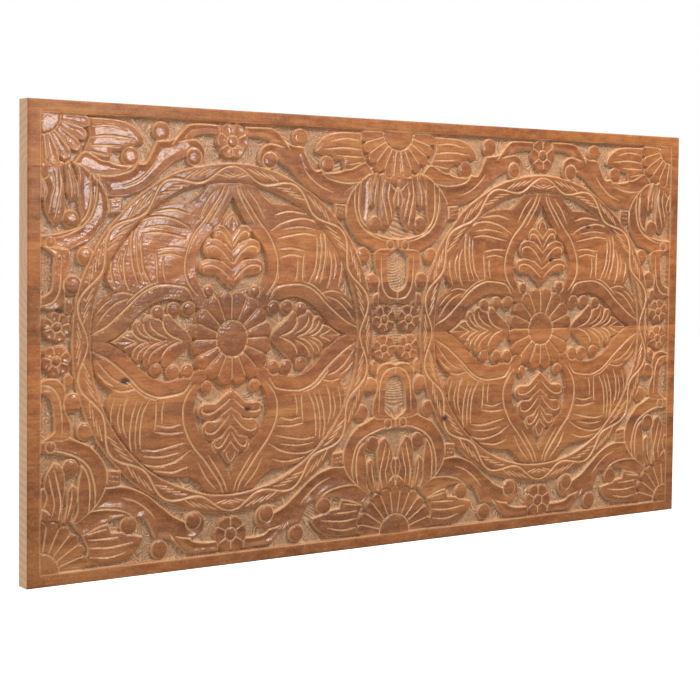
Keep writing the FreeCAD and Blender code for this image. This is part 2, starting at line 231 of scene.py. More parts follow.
def carve_ring(tile):
    """The medallion's ring: a twisted ribbon, drawn as one sinuous cut with slanting strokes beside it."""
    middle = (RING_IN + RING_OUT) / 2
    half = (RING_OUT - RING_IN) / 2
    depth_in = half - np.abs(tile.medallion_radius() - middle)
    height = TOP - 2.2 * rounded_rim(depth_in, 4.0) + 0.6 * smoothstep(depth_in / half)
    wash = FOOT_WASH * smoothstep(1.0 - depth_in / 2.4)
    tile.set_surface(EVERYWHERE, smoothstep(depth_in / SIDE_RUN + 1.0), height, wash)

    def wave(turns):
        return -RING_SWING * math.cos(2 * math.pi * turns)

    def on_ring(turns, across):
        angle = turns * 2 * math.pi / RING_WAVES
        radius = middle + across * half
        return (TILE_W - radius * math.cos(angle), radius * math.sin(angle))

    turns_here = RING_WAVES / 4
    tile.cut([on_ring(t, wave(t)) for t in np.arange(-0.5, turns_here + 0.5, 0.06)], 5.4, 2.6)
    for lobe in np.arange(-0.5, turns_here + 0.5, 0.5):
        side = -wave(lobe) / RING_SWING
        for step in (-0.16, -0.05, 0.06, 0.17):
            slant = [(lobe + step + 0.05 * k, side * (0.30 + 0.12 * k)) for k in (-2, -1, 0, 1, 2)]
            tile.cut([on_ring(turns, across) for turns, across in slant], 3.4, 1.7, wash=0.9)


def carve_petals(cut, pocket):
    """The two big petals of the medallion: tall ones up and down, wide ones left and right."""
    tall_outer = [(14, 271), (22, 252), (38, 230), (56, 206), (74, 186), (86, 166), (94, 146), (96, 124)]
    tall_foot = [(96, 124), (92, 106), (84, 92), (72, 78)]
    tall_inner = [(0, 246), (12, 222), (28, 200), (44, 182), (58, 168), (70, 148), (74, 124), (71, 104)]
    inner_foot = [(71, 104), (64, 90), (56, 82)]
    pocket([tall_inner, inner_foot, [(56, 82), (46, 62)], [(46, 62), (0, 74)], [(0, 74), (0, 246)]])
    cut(tall_outer + tall_foot[1:], 4.6, 2.6, 0.1)
    cut([(7, 268), (14, 249), (30, 224), (46, 202)], 3.0, 1.2)
    cut([(30, 262), (50, 240), (66, 212)], 3.4)
    wide_outer = [(80, 72), (90, 88), (104, 94), (140, 97), (164, 91), (182, 80), (202, 61), (224, 43)]
    wide_tip = [(224, 43), (246, 27), (272, 14)]
    wide_inner = [(90, 63), (108, 68), (130, 71), (150, 66), (168, 57), (186, 42), (204, 24)]
    wide_inner += [(224, 9), (246, 0)]
    pocket([wide_inner, [(246, 0), (74, 0)], [(74, 0), (62, 50)], [(62, 50), (90, 63)]])
    cut(wide_outer + wide_tip[1:], 4.6, 2.6, 0.1)
    cut([(150, 101), (170, 95), (190, 81), (206, 66)], 2.8, 1.3)
    cut([(204, 74), (226, 66), (246, 50), (264, 28)], 3.2)
    cut([(190, 80), (214, 84), (232, 80)], 3.0, 1.5)
    cut([(232, 74), (248, 64), (262, 50)], 2.8, 1.3)


def carve_fan_leaf(cut):
    """The leaf between two petals: nested chevrons that bend over a diagonal."""
    cut([(80, 190), (108, 205), (140, 212), (166, 210), (190, 200)], 4.2, 2.2)
    cut([(194, 196), (200, 168), (197, 132), (186, 98)], 4.2, 2.2)
    cut([(94, 176), (124, 182), (152, 186), (178, 183)])
    cut([(180, 180), (181, 160), (176, 124), (163, 100)])
    cut([(96, 158), (124, 160), (152, 156)])
    cut([(100, 144), (124, 149), (148, 145)], 3.4, 1.6)
    cut([(152, 152), (150, 128), (149, 103)])
    cut([(138, 142), (138, 122), (134, 104)], 3.2, 1.5)
    cut([(207, 160), (213, 138), (210, 108), (203, 90)])
    cut([(104, 192), (140, 197), (174, 194)], 3.0, 1.3)
    cut([(188, 186), (190, 160), (186, 128), (176, 102)], 3.0, 1.3)
    cut([(218, 152), (223, 130), (217, 104)], 3.0, 1.4)
    cut([(88, 218), (118, 225), (156, 220)])
    cut([(222, 168), (232, 146), (236, 122), (228, 92)], 3.2)
    cut([(126, 240), (160, 231), (190, 214), (212, 190)], 3.4)


# One drooping leaf of the palmette, as shares of its reach across and of its drop
LEAF_UPPER_EDGE = [(0.0, 0.0), (0.25, 0.26), (0.43, 0.46), (0.62, 0.50), (0.82, 0.50), (1.0, 0.67)]
LEAF_LOWER_EDGE = [(0.97, 0.90), (0.78, 1.02), (0.55, 1.02), (0.30, 0.92), (0.0, 0.66)]
LEAF_VEIN = [(0.05, 0.34), (0.28, 0.60), (0.50, 0.78), (0.70, 0.84), (0.88, 0.78), (0.88, 0.64)]


def drooping_leaf(land, cut, reach, start, drop):
    """A pair of leaves that droop from the palmette's middle line, with curled ends."""

    def placed(shares):
        return [(reach * across, start + drop * down) for across, down in shares]

    outline = placed(LEAF_UPPER_EDGE + LEAF_LOWER_EDGE)
    low = outline[-1][1]
    land([
        outline,
        [(0, low), (-4, low)],
        [(-4, low), (-4, start)],
        [(-4, start), (0, start)],
    ], dome=0.6)
    cut(placed(LEAF_VEIN), 3.4, 1.7)


def carve_palmette(land, cut):
    """A tip and three pairs of drooping leaves with curled ends, in the middle of a tall petal."""
    land([
        [(0, 174), (10, 184), (17, 195), (16, 206), (8, 215), (0, 222)],
        [(0, 222), (-4, 222)],
        [(-4, 222), (-4, 174)],
        [(-4, 174), (0, 174)],
    ], dome=0.6)
    cut([(0, 216), (7, 208), (10, 198)], 2.6, 1.2)
    for reach, start, drop in ((37, 148, 50), (58, 114, 60), (66, 88, 51)):
        drooping_leaf(land, cut, reach, start, drop)


def carve_acanthus(land, cut):
    """The leaf of curled blades that lies along the middle of a wide petal."""
    land([
        [(80, 2), (92, 16), (109, 29), (124, 43), (131, 46), (136, 41), (137, 32)],
        [(137, 32), (146, 38), (157, 45), (167, 45), (173, 38), (173, 28)],
        [(173, 28), (180, 36), (188, 36), (194, 28), (194, 20)],
        [(194, 20), (207, 17), (220, 9), (234, 0)],
        [(234, 0), (80, -5)],
        [(80, -5), (80, 2)],
    ], dome=0.4)
    cut([(100, 0), (124, 10), (136, 24), (138, 38)], 4.2, 2.2)
    cut([(137, 0), (158, 8), (171, 21), (174, 35)], 4.2, 2.2)
    cut([(165, 0), (183, 7), (193, 17), (194, 28)], 4.0, 2.0)
    cut([(130, 5), (148, 14), (160, 25), (163, 36)], 2.8, 1.2)
    cut([(160, 5), (174, 12), (183, 21), (186, 30)], 2.8, 1.2)
    cut([(186, 0), (201, 6), (212, 11)], 2.8, 1.2)


def carve_medallion(tile):
    """Everything inside the ring, drawn from the medallion's centre."""
    r = tile.medallion_radius()
    leaf_face = TOP - 0.5 + 0.25 * np.sin(r / 9.0)
    amount = smoothstep((RING_IN - 2.5 - r) / SIDE_RUN + 1.0)
    tile.set_surface(EVERYWHERE, amount, leaf_face, 0.0)

    def cut(points, width=4.0, depth=2.0, taper=0.2):
        tile.cut(from_medallion(points), width, depth, taper)

    def land(runs, dome):
        tile.land([from_medallion(run) for run in runs], dome=dome)

    def pocket(runs):
        tile.pocket([from_medallion(run) for run in runs])

    # ground triangles between the leaves and the ring
    pocket([
        [(50, 268), (100, 254), (148, 230)],
        [(148, 230), (117, 236), (84, 238)],
        [(84, 238), (66, 250), (50, 268)],
    ])
    pocket([
        [(242, 124), (258, 92), (270, 50)],
        [(270, 50), (254, 68), (233, 86)],
        [(233, 86), (244, 104), (242, 124)],
    ])
    carve_petals(cut, pocket)
    carve_fan_leaf(cut)
    carve_palmette(land, cut)
    carve_acanthus(land, cut)
    for x, z, radius in ((48, 84, 11), (88, 54, 13), (116, 54, 13), (148, 50, 12)):
        tile.bead(TILE_W - x, z, radius)
    tile.flower(TILE_W, 0.0, 31.0, 84.0, 16, 0.5 / 16, scoop=-0.9)


def carve_scroll(tile):
    """The big scroll from the flower at the top down to the clasp, with its volute."""
    volute = [(271, 316), (273, 306), (282, 300), (295, 301), (305, 309), (309, 322), (304, 336)]
    lower_edge = [(119, 244), (146, 243), (166, 248), (185, 256), (201, 266), (216, 279)]
    tile.land([
        [(337, 374), (300, 374), (279, 372), (265, 363), (252, 350), (240, 344), (226, 342), (214, 341)],
        [(214, 341), (207, 326), (199, 310), (189, 301), (176, 303)],
        [(176, 303), (165, 290), (142, 282), (112, 279), (88, 283)],
        [(88, 283), (103, 269), (112, 256), (119, 244)],
        lower_edge + [(231, 291), (247, 304), (271, 316)],
        volute + [(294, 344), (282, 347)],
        [(282, 347), (290, 353), (312, 357), (336, 357)],
        [(336, 357), (337, 374)],
    ], hollow=2.4, half_width=14)
    tile.cut([(263, 361), (252, 349), (243, 336)], 4.0)
    tile.cut([(286, 346), (270, 344), (254, 340)], 4.0)
    tile.cut([(286, 334), (276, 328), (270, 317)], 3.8)
    tile.cut([(150, 262), (176, 272), (200, 290), (214, 306)], 3.0, 1.2)


def carve_side_leaves(tile):
    """The leaf beside the sunflower, and the boat-shaped leaf under it."""
    tile.land([
        [(56, 296), (76, 286), (102, 280), (140, 283), (164, 292), (174, 304)],
        [(174, 304), (166, 298), (150, 297), (130, 300), (124, 303)],
        [(124, 303), (106, 306), (76, 318), (56, 296)],
    ], hollow=1.8, half_width=9)
    tile.land([
        [(80, 373), (120, 373), (150, 370), (172, 361), (186, 346), (189, 335)],
        [(189, 335), (166, 329), (148, 323), (128, 321)],
        [(128, 321), (123, 305)],
        [(123, 305), (104, 309), (76, 320)],
        [(76, 320), (86, 346), (80, 373)],
    ], dome=0.8)
    tile.cut([(90, 359), (124, 362), (156, 356)], 3.2, 1.6)
    tile.cut([(88, 342), (126, 345), (170, 341)], 4.0)
    tile.cut([(86, 328), (110, 329), (142, 330)], 3.4, 1.7)
    tile.cut([(84, 319), (100, 316), (119, 313)], 3.0, 1.5)


def carve_crescents(tile):
    """The nested crescents that hang from the boat-shaped leaves and meet under the hanging leaf."""
    outer_edge = [(70, 296), (88, 283), (103, 269), (114, 254), (120, 238), (121, 220)]
    tile.land([
        outer_edge + [(116, 203), (104, 186), (88, 170)],
        [(88, 170), (66, 161), (40, 150), (20, 152), (0, 161)],
        [(0, 161), (0, 178)],
        [(0, 178), (24, 180), (48, 185)],
        [(48, 185), (66, 191), (73, 206), (69, 228), (66, 255), (66, 280), (56, 300)],
        [(56, 300), (70, 296)],
    ], hollow=1.4)
    tile.cut([(86, 284), (90, 256), (89, 230), (81, 209), (64, 196), (46, 190)], 5.0, 2.8)
    tile.cut([(98, 273), (100, 250), (97, 228), (88, 206), (70, 190), (44, 179), (20, 174)], 4.6, 2.4)


def carve_hanging_leaf(tile):
    """The lobed leaf that hangs from the sunflower."""
    tile.land([
        [(42, 296), (47, 270), (48, 248), (56, 234)],
        [(56, 234), (66, 242), (65, 264), (58, 282), (50, 300), (42, 296)],
    ], dome=0.8)
    tile.land([
        [(0, 292), (2, 276), (11, 252), (6, 236), (10, 214), (24, 194)],
        [(24, 194), (36, 200), (43, 220), (42, 246), (38, 272), (40, 298)],
        [(40, 298), (20, 302), (0, 292)],
    ], dome=1.0)
    tile.land([[(0, 276), (8, 262), (11, 248), (6, 236), (0, 238)], [(0, 238), (0, 276)]], dome=0.6)
    tile.cut([(24, 206), (30, 232), (36, 262), (32, 290)], 4.0)
    tile.cut([(14, 214), (18, 236), (24, 262), (20, 284)], 3.0, 1.4)
    tile.cut([(56, 242), (54, 264), (48, 288)], 3.2, 1.6)
    tile.cut([(0, 268), (9, 272), (17, 280)], 3.4, 1.6)


def carve_collar(tile):
    """A bell-shaped patch of striated ground between two arms, closed below by nested bands."""
    tile.land([
        [(0, 161), (16, 152), (25, 144)],
        [(25, 144), (23, 112), (19, 93), (11, 84), (0, 80)],
        [(0, 80), (0, 61)],
        [(0, 61), (15, 57), (32, 60), (42, 71), (44, 86), (41, 100), (46, 114), (53, 130), (55, 150)],
        [(55, 150), (44, 158), (0, 161)],
    ], top=TOP - 0.6, hollow=0.8)
    tile.cut([(39, 146), (37, 112), (33, 88), (22, 72), (10, 67), (0, 66)], 4.2, 2.2)
    for u, foot, head in ((2, 86, 154), (8, 88, 150), (14, 94, 146), (19, 104, 142)):
        tile.cut([(u, foot), (u + 1, head)], 3.2, 1.0, wash=0.0)
    tile.land([[(44, 78), (55, 72), (58, 58)], [(58, 58), (50, 50), (42, 58), (44, 78)]], dome=0.5)


def carve_column(tile):
    """Everything between the rings, drawn from the column axis."""
    carve_scroll(tile)
    carve_side_leaves(tile)
    carve_crescents(tile)
    carve_hanging_leaf(tile)
    carve_collar(tile)
    # clasp between the ring and the scroll
    tile.land([
        [(122, 215), (146, 217)],
        [(146, 217), (146, 241)],
        [(146, 241), (122, 240)],
        [(122, 240), (122, 215)],
    ])
    tile.cut([(126, 224), (142, 227)], 2.6, 1.2)
    tile.cut([(126, 232), (142, 235)], 2.6, 1.2)
    beads = [(163, 313, 16), (222, 359, 16), (286, 316, 15), (80, 146, 15), (58, 98, 16)]
    beads += [(54, 205, 15), (18, 168, 9)]
    for u, v, radius in beads:
        tile.bead(u, v, radius)
    tile.flower(0.0, TILE_H, 33.0, 89.0, 22, 0.25, scoop=1.4)
    tile.flower(28.0, 28.0, 7.0, 26.0, 6, 0.04)
    tile.flower(TILE_W, 347.0, 10.0, 33.0, 6, 0.0)


def make_tile():
    """The whole tile. The ring comes last, because it lies over everything that it crosses."""
    tile = Tile()
    carve_column(tile)
    carve_medallion(tile)
    carve_ring(tile)
    return tile


# ---------------------------------------------------------------------------------------------
# The boards. Each is one closed mesh: a fine grid over the carved face, then rings of vertices
# round the edges, and a plain back. The carving is the same surface all over the panel, cut at the
# joints, so neighbouring boards meet without a step.

MM = 0.001
BOARDS = sorted(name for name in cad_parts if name.startswith("board_"))
BOARD_BOXES = {name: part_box(name) for name in BOARDS}
PANEL_LOW = np.min([box[0] for box in BOARD_BOXES.values()], axis=0) / MM
PANEL_HIGH = np.max([box[1] for box in BOARD_BOXES.values()], axis=0) / MM
HALF_W = (PANEL_HIGH[0] - PANEL_LOW[0]) / 2
HALF_H = (PANEL_HIGH[2] - PANEL_LOW[2]) / 2
CENTRE_Z = (PANEL_HIGH[2] + PANEL_LOW[2]) / 2
FRONT_Y, BACK_Y = PANEL_LOW[1], PANEL_HIGH[1]
FIELD_HALF_W = 2 * TILE_W
FIELD_HALF_H = TILE_H
FRONT_ARRIS = 2.6
BACK_ARRIS = 1.6
GRID = 1.4
GOUGE_PITCH = 5.2
HAND_WOBBLE = 1.5
KNOT_SINK = 0.8
# Each knot's place from the panel's centre, and its radius
KNOTS = [(-692, 54, 5), (118, -168, 6), (-572, -66, 7), (488, 205, 5), (388, 138, 5), (-330, -126, 5)]


def wander(x, z, size, seed):
    """A smooth, repeatable wobble of about the given size, for hand-cut lines."""
    rng = np.random.default_rng(seed)
    total = np.zeros_like(x)
    for wave in (310.0, 190.0, 120.0, 83.0):
        angle, phase = rng.uniform(0, 2 * math.pi, 2)
        along = (x * math.cos(angle) + z * math.sin(angle)) * 2 * math.pi / wave
        total += np.sin(along + phase) * (wave / 310.0) ** 0.5
    return total * size / 2.0


def sample_tile(field, x, z):
    """Reads one of the tile's fields at panel places, folding them into the mirrored tile."""
    u = np.abs((np.abs(x) + TILE_W) % (2 * TILE_W) - TILE_W)
    u = np.where(np.abs(x) > 2 * TILE_W, 0.0, u) / TILE_STEP
    v = np.clip(np.abs(z), 0, TILE_H) / TILE_STEP
    i = np.clip(u.astype(int), 0, field.shape[1] - 2)
    j = np.clip(v.astype(int), 0, field.shape[0] - 2)
    fu, fv = np.clip(u - i, 0, 1), np.clip(v - j, 0, 1)
    low = field[j, i] * (1 - fu) + field[j, i + 1] * fu
    high = field[j + 1, i] * (1 - fu) + field[j + 1, i + 1] * fu
    return low * (1 - fv) + high * fv


def knot_stain(x, z):
    """How strongly the dark knots in the timber show at panel places, from 0 to 1."""
    stain = np.zeros_like(x)
    for knot_x, knot_z, radius in KNOTS:
        away = np.hypot((x - knot_x) / 1.6, z - knot_z) / radius
        stain = np.maximum(stain, smoothstep(1.3 - away))
    return stain


def gouge_marks(x, z):
    """Wandering rows of gouge strokes, from -1 in the hollows to 1 on the ridges."""
    turn = 0.5 * wander(x, z, 1.0, 13)
    across = z * np.cos(turn) + x * np.sin(turn)
    return np.sin(across * 2 * math.pi / GOUGE_PITCH + 3.0 * wander(x, z, 1, 14))


def front_arris(x, z):
    """How far the rounded front edge falls back at panel places."""
    out = np.minimum(HALF_W - np.abs(x), HALF_H - np.abs(z))
    short = np.clip(1.0 - out / FRONT_ARRIS, 0.0, 1.0)
    return FRONT_ARRIS * (1.0 - np.sqrt(1.0 - short**2))


def panel_surface(tile, x, z):
    """The carved face's height and wash at panel places, in millimetres from the panel's centre, with
    painted shade where the wash thins in the ground's gouge hollows.
    """
    wx = x + wander(x, z, HAND_WOBBLE, 11)
    wz = z + wander(x, z, HAND_WOBBLE, 12)
    height = sample_tile(tile.height, wx, wz)
    wash = sample_tile(tile.wash, wx, wz)
    ground = smoothstep((-height - 5.5) / 1.5)
    marks = gouge_marks(x, z)
    height += ground * (0.7 * marks - 0.4)
    # painted shade: the wash thins in the ground's gouge hollows, so the darker wood shows there
    wash = wash * (1.0 - ground * 0.7 * (0.5 - 0.5 * marks))
    # slightly uneven tops, as a hand plane and sandpaper leave them
    chatter = wander(x * 3, z * 3, 0.10, 15) + wander(x * 11, z * 17, 0.07, 17)
    height += chatter * (1 - ground)
    # a scribed line where the field meets the plain border
    edge = np.minimum(FIELD_HALF_W - np.abs(x), FIELD_HALF_H - np.abs(z)) + wander(x, z, 0.5, 16)
    inside = smoothstep(edge / 1.6 + 0.5)
    line = smoothstep(1.0 - np.abs(edge + 1.5) / 1.6)
    height = height * inside - front_arris(x, z) - 0.5 * line
    return height, np.maximum(wash * inside, 0.5 * line)


def grid_lines(low, high, field_half):
    """Places of grid lines: close together over the carved field, sparse over the border."""
    outer = np.array([0.0, 0.35, 0.9, 1.7, 2.7, 5.0, 10.0, 15.0])
    start, stop = max(low, -field_half - 3.0), min(high, field_half + 3.0)
    count = int(round((stop - start) / GRID))
    lines = [np.linspace(start, stop, count + 1)]
    if start > low:
        lines.insert(0, low + outer)
    if stop < high:
        lines.append(high - outer[::-1])
    return np.concatenate(lines)


def edge_rings(front, loop, z0, z1):
    """Rings of vertices behind the front's outline: the board's edges, with the back edge rounded."""
    rings = []
    for k in range(4):
        angle = k / 3 * math.pi / 2
        inset = BACK_ARRIS * (1 - math.cos(angle))
        ring = front[loop].copy()
        ring[:, 0] *= (HALF_W - inset) / HALF_W
        if z1 > HALF_H - 1:
            share = (ring[:, 2] - CENTRE_Z - z0) / (z1 - z0)
            ring[:, 2] -= inset * share
        if z0 < 1 - HALF_H:
            share = (z1 + CENTRE_Z - ring[:, 2]) / (z1 - z0)
            ring[:, 2] += inset * share
        ring[:, 1] = BACK_Y - BACK_ARRIS * (1 - math.sin(angle))
        rings.append(ring)
    return rings


def side_faces(loop, first, count):
    """Quads that join the front's outline to the first ring, and each ring to the next."""
    rows = [loop] + [first + k * len(loop) + np.arange(len(loop)) for k in range(count)]
    faces = [
        np.stack([row, after, np.roll(after, -1), np.roll(row, -1)], axis=-1)
        for row, after in zip(rows, rows[1:], strict=False)
    ]
    return np.vstack(faces), rows[-1]


def back_faces(ring, nx, nz):
    """The back: strips from the bottom edge to the top edge, and one larger face at each end."""
    right_start, top_start, left_start = nx - 1, nx + nz - 2, 2 * nx + nz - 3
    bottom = ring[:nx]
    right = ring[right_start : right_start + nz]
    top = ring[top_start : top_start + nx][::-1]
    left = np.concatenate([ring[left_start:], ring[:1]])[::-1]
    strips = np.stack([bottom[1:-2], top[1:-2], top[2:-1], bottom[2:-1]], axis=-1)
    end_left = list(left) + [top[1], bottom[1]]
    end_right = list(right[::-1]) + [bottom[-2], top[-2]]
    return strips, [end_left, end_right]


def mesh_from(name, verts, quads, big_faces):
    """A mesh from vertices in millimetres, quads and a few larger faces."""
    mesh = bpy.data.meshes.new(name)
    loops = np.concatenate([quads.ravel(), *big_faces]).astype(np.int32)
    sizes = np.concatenate([np.full(len(quads), 4), [len(face) for face in big_faces]])
    starts = np.concatenate([[0], np.cumsum(sizes)[:-1]]).astype(np.int32)
    mesh.vertices.add(len(verts))
    mesh.vertices.foreach_set("co", (verts * MM).astype(np.float32).ravel())
    mesh.loops.add(len(loops))
    mesh.loops.foreach_set("vertex_index", loops)
    mesh.polygons.add(len(sizes))
    mesh.polygons.foreach_set("loop_start", starts)
    mesh.update(calc_edges=True)
    mesh.validate()
    return mesh


def board_mesh(name, tile):
    """One carved board as a closed mesh, with its wash and knots stored per vertex."""
    low, high = BOARD_BOXES[name]
    z0, z1 = low[2] / MM - CENTRE_Z, high[2] / MM - CENTRE_Z
    xs = grid_lines(-HALF_W, HALF_W, FIELD_HALF_W)
    zs = grid_lines(z0, z1, FIELD_HALF_H)
    nx, nz = len(xs), len(zs)
    x, z = np.meshgrid(xs, zs)
    height, wash = panel_surface(tile, x, z)
    knots = knot_stain(x, z)
    height = height - KNOT_SINK * knots
    front = np.stack([x, FRONT_Y - height, z + CENTRE_Z], axis=-1).reshape(-1, 3)

    index = np.arange(nx * nz).reshape(nz, nx)
    quads = np.stack([index[:-1, :-1], index[:-1, 1:], index[1:, 1:], index[1:, :-1]], axis=-1)
    quads = quads.reshape(-1, 4)
    loop = np.concatenate([index[0, :-1], index[:-1, -1], index[-1, :0:-1], index[:0:-1, 0]])
    rings = edge_rings(front, loop, z0, z1)
    sides, back_ring = side_faces(loop, nx * nz, len(rings))
    strips, end_faces = back_faces(back_ring, nx, nz)
    verts = np.vstack([front] + rings)
    faces = np.vstack([quads, sides, strips])
    mesh = mesh_from("carved_" + name, verts, faces, end_faces)

    inner = np.minimum(FIELD_HALF_W - np.abs(x), FIELD_HALF_H - np.abs(z))
    store(mesh, "wash", wash)
    store(mesh, "ground", smoothstep((-height - 5.0) / 2.0))
    store(mesh, "knot", knots)
    store(mesh, "carved", smoothstep(inner / 4.0))
    smooth_only_front(mesh, len(quads))

    # the second material goes on the sides that lie on the board's two ends
    ends = np.zeros(len(mesh.polygons), bool)
    at_end = np.abs(verts[:, 0]) > HALF_W - BACK_ARRIS - 0.1
    ends[len(quads) : len(quads) + len(sides)] = at_end[sides[:, 0]] & at_end[sides[:, 2]]
    mesh.polygons.foreach_set("material_index", ends.astype(np.int32))
    return mesh


def store(mesh, name, values):
    """Stores values for the front's vertices, which come first, and zero for all the others."""
    padded = np.zeros(len(mesh.vertices), np.float32)
    padded[: values.size] = values.ravel()
    layer = mesh.attributes.new(name, "FLOAT", "POINT")
    layer.data.foreach_set("value", padded)


def smooth_only_front(mesh, front_faces):
    """Shades smooth, with sharp edges wherever the mesh turns a corner outside the carved face."""
    mesh.shade_smooth()
    mesh.set_sharp_from_angle(angle=math.radians(50))
    sharp = mesh.attributes["sharp_edge"]
    flags = np.zeros(len(mesh.edges), bool)
    sharp.data.foreach_get("value", flags)
    loops = np.zeros(len(mesh.loops), np.int32)
    mesh.loops.foreach_get("edge_index", loops)
    used = np.bincount(loops[: front_faces * 4], minlength=len(mesh.edges))
    flags[used == 2] = False
    sharp.data.foreach_set("value", flags)


# ---------------------------------------------------------------------------------------------
# Materials


class Graph:
    """A small helper for building node materials."""

    def __init__(self, name):
        self.material = bpy.data.materials.new(name)
        self.material.use_nodes = True
        self.tree = self.material.node_tree
        self.shader = self.tree.nodes["Principled BSDF"]

    def node(self, kind, values=None, **inputs):
        """Adds a node, sets its values, and feeds its inputs, whose names have _ for a space."""
        node = self.tree.nodes.new(kind)
        for key, value in (values or {}).items():
            setattr(node, key, value)
        for key, value in inputs.items():
            self.feed(node.inputs[key.replace("_", " ")], value)
        return node

    def feed(self, socket, value):
        """Links an output to the socket, or sets a constant on it."""
        if isinstance(value, bpy.types.NodeSocket):
            self.tree.links.new(value, socket)
        else:
            socket.default_value = value

    def attribute(self, name):
        """One of the numbers stored on the mesh's vertices."""
        return self.node("ShaderNodeAttribute", {"attribute_name": name}).outputs["Fac"]

    def place(self, scale, offset=(0, 0, 0)):
        """The place on the object in metres, scaled along each axis and then shifted."""
        coords = self.node("ShaderNodeTexCoord").outputs["Object"]
        mapping = self.node("ShaderNodeMapping", Vector=coords)
        mapping.inputs["Scale"].default_value = scale
        mapping.inputs["Location"].default_value = offset
        return mapping.outputs["Vector"]

    def noise(self, vector, scale, detail=4.0, rough=0.55, warp=0.0):
        """A noise value of about 0.3 to 0.7."""
        node = self.node("ShaderNodeTexNoise", Vector=vector, Scale=scale, Detail=detail)
        node.inputs["Roughness"].default_value = rough
        node.inputs["Distortion"].default_value = warp
        return node.outputs["Fac"]

    def ramp(self, value, stops):
        """A colour that runs through the stops, each a position and a colour."""
        node = self.node("ShaderNodeValToRGB", Fac=value)
        elements = node.color_ramp.elements
        while len(elements) < len(stops):
            elements.new(0.5)
        for element, (place, colour) in zip(elements, stops, strict=True):
            element.position = place
            element.color = (*colour, 1.0)
        return node.outputs["Color"]

    def mix(self, amount, a, b):
        """A colour that goes from a to b as the amount goes from 0 to 1."""
        node = self.node("ShaderNodeMix", {"data_type": "RGBA"})
        self.feed(node.inputs[0], amount)
        self.feed(node.inputs[6], a if isinstance(a, bpy.types.NodeSocket) else (*a, 1.0))
        self.feed(node.inputs[7], b if isinstance(b, bpy.types.NodeSocket) else (*b, 1.0))
        return node.outputs[2]

    def math(self, operation, a, b, clamp=False):
        node = self.node("ShaderNodeMath", {"operation": operation, "use_clamp": clamp})
        self.feed(node.inputs[0], a)
        self.feed(node.inputs[1], b)
        return node.outputs[0]

    def span(self, value, low, high, to_low=0.0, to_high=1.0):
        """Maps a value from one range to another, and stops at the ends."""
        node = self.node("ShaderNodeMapRange", Value=value)
        for key, number in zip(("From Min", "From Max", "To Min", "To Max"), (low, high, to_low, to_high)):
            node.inputs[key].default_value = number
        return node.outputs["Result"]

    def bump(self, height, strength, distance, normal=None):
        """A normal tilted by a height, on top of another normal if one is given."""
        node = self.node("ShaderNodeBump", Height=height, Strength=strength, Distance=distance)
        if normal is not None:
            self.feed(node.inputs["Normal"], normal)
        return node.outputs["Normal"]

    def finish(self, colour, rough, normal=None, specular=0.5):
        """Joins everything to the shader and returns the material."""
        self.feed(self.shader.inputs["Base Color"], colour)
        self.feed(self.shader.inputs["Roughness"], rough)
        if normal is not None:
            self.feed(self.shader.inputs["Normal"], normal)
        self.shader.inputs["Coat Roughness"].default_value = 0.13
        self.shader.inputs["Specular IOR Level"].default_value = specular
        return self.material


def srgb(r, g, b):
    """Linear colour from 0 to 255 display values."""
    return tuple((c / 255 / 12.92) if c <= 10 else ((c / 255 + 0.055) / 1.055) ** 2.4 for c in (r, g, b))


def tinted(colour, tone):
    """The colour made darker or lighter by a factor."""
    return tuple(c * tone for c in colour)


def timber(g, tone, offset, speck):
    """The bare wood's colour: broad bands, streaks, pores and mottling, with the grain along X."""
    broad = g.noise(g.place((1.6, 9.0, 9.0), offset), 1.7, 3.0, 0.5, 0.6)
    streak = g.noise(g.place((3.0, 60.0, 60.0), offset), 2.2, 5.0, 0.6, 0.3)
    pores = g.noise(g.place((14.0, 420.0, 420.0), offset), 2.0, 3.0, 0.6)
    dark, mid, light = srgb(128, 66, 22), srgb(180, 103, 42), srgb(208, 133, 66)
    wood = g.ramp(broad, [(0.30, tinted(dark, tone)), (0.5, tinted(mid, tone)), (0.70, tinted(light, tone))])
    wood = g.mix(g.span(streak, 0.38, 0.66, 0.0, 0.6), wood, tinted(srgb(150, 80, 36), tone))
    wood = g.mix(g.span(pores, 0.50, 0.66, 0.0, 0.5), wood, srgb(100, 50, 22))
    mottled = g.noise(g.place((30.0, 75.0, 75.0), offset), 1.0, 5.0, 0.68)
    wood = g.mix(g.span(mottled, 0.45, 0.68, 0.0, 0.45), wood, tinted(srgb(218, 142, 82), tone))
    wood = g.mix(g.span(mottled, 0.46, 0.30, 0.0, 0.45), wood, tinted(srgb(132, 66, 28), tone))
    return g.mix(g.span(speck, 0.52, 0.70, 0.0, 0.35), wood, srgb(216, 158, 104))


